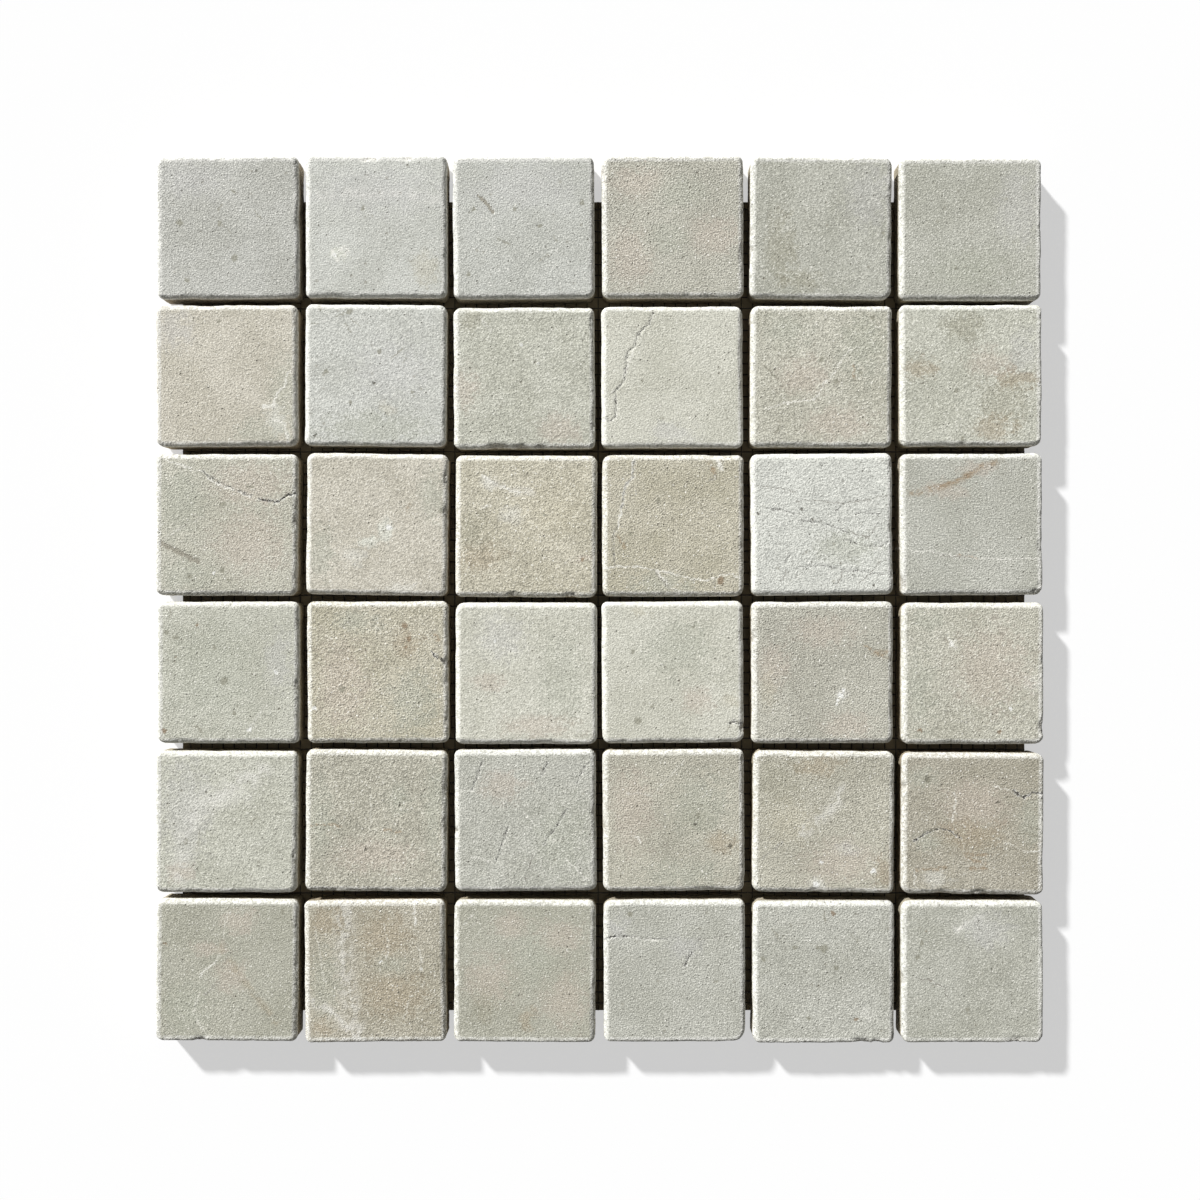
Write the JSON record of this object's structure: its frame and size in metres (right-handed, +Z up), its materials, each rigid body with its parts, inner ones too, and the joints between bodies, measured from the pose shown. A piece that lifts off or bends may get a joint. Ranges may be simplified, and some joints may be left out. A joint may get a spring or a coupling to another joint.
{
  "type": "mosaic tile sheet",
  "caption": "Square sheet of small tumbled stone tiles in a grid with open joints, bonded to an open mesh backing, ready to bed in tile adhesive on a wall or floor.",
  "frame": {"origin": "middle of the sheet, on the mesh's underside", "axes": "+Z up through the tiles to their faces, +X to the sheet's right and +Y up the sheet as the picture shows it"},
  "size_m": [0.3039, 0.3034, 0.0105],
  "materials": {
    "grey_stone": "honed and tumbled, matt",
    "beige_stone": "honed and tumbled, matt",
    "sand_stone": "honed and tumbled, matt",
    "pale_stone": "honed and tumbled, matt",
    "mesh_yarn": "woven glass fibre with a dull resin coat"
  },
  "bodies": {
    "root": {"tile_r1_c1": "grey_stone", "tile_r1_c2": "grey_stone", "tile_r1_c3": "grey_stone", "tile_r1_c4": "sand_stone", "tile_r1_c5": "beige_stone", "tile_r1_c6": "beige_stone", "tile_r2_c1": "beige_stone", "tile_r2_c2": "grey_stone", "tile_r2_c3": "grey_stone", "tile_r2_c4": "pale_stone", "tile_r2_c5": "beige_stone", "tile_r2_c6": "beige_stone", "tile_r3_c1": "grey_stone", "tile_r3_c2": "beige_stone", "tile_r3_c3": "sand_stone", "tile_r3_c4": "sand_stone", "tile_r3_c5": "pale_stone", "tile_r3_c6": "grey_stone", "tile_r4_c1": "grey_stone", "tile_r4_c2": "beige_stone", "tile_r4_c3": "pale_stone", "tile_r4_c4": "pale_stone", "tile_r4_c5": "beige_stone", "tile_r4_c6": "beige_stone", "tile_r5_c1": "grey_stone", "tile_r5_c2": "beige_stone", "tile_r5_c3": "grey_stone", "tile_r5_c4": "beige_stone", "tile_r5_c5": "sand_stone", "tile_r5_c6": "sand_stone", "tile_r6_c1": "grey_stone", "tile_r6_c2": "sand_stone", "tile_r6_c3": "beige_stone", "tile_r6_c4": "grey_stone", "tile_r6_c5": "grey_stone", "tile_r6_c6": "grey_stone", "mesh_weft": "mesh_yarn", "mesh_warp": "mesh_yarn"}
  },
  "joints": []
}
